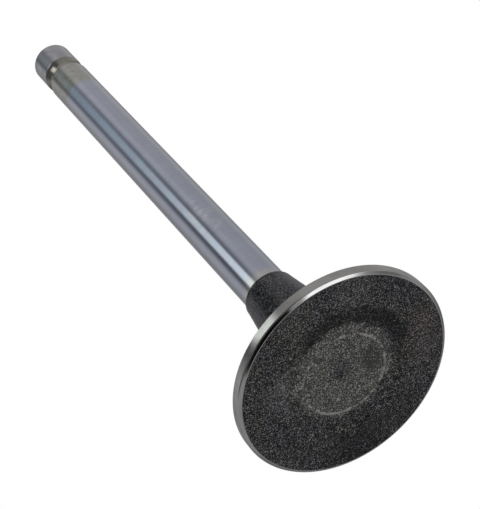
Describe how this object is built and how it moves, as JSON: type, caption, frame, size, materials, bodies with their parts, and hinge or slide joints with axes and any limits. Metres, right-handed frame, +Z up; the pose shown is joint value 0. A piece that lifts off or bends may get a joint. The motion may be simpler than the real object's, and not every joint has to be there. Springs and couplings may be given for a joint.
{
  "type": "engine valve",
  "caption": "Poppet valve for an engine: flat round head with a ground rim and angled seat, flared neck, long plated stem with a keeper groove near its tip.",
  "frame": {"origin": "centre of the combustion face, which the valve stands on", "axes": "+Z runs up the stem from the combustion face to the tip; the part is the same all the way round, so X and Y are free"},
  "size_m": [0.0384, 0.0384, 0.129],
  "materials": {
    "valve_steel": "black forged skin on the combustion face and neck, ground rim and seat, hard-plated and ground stem, bare ground tip"
  },
  "bodies": {
    "root": {"valve": "valve_steel"}
  },
  "joints": []
}
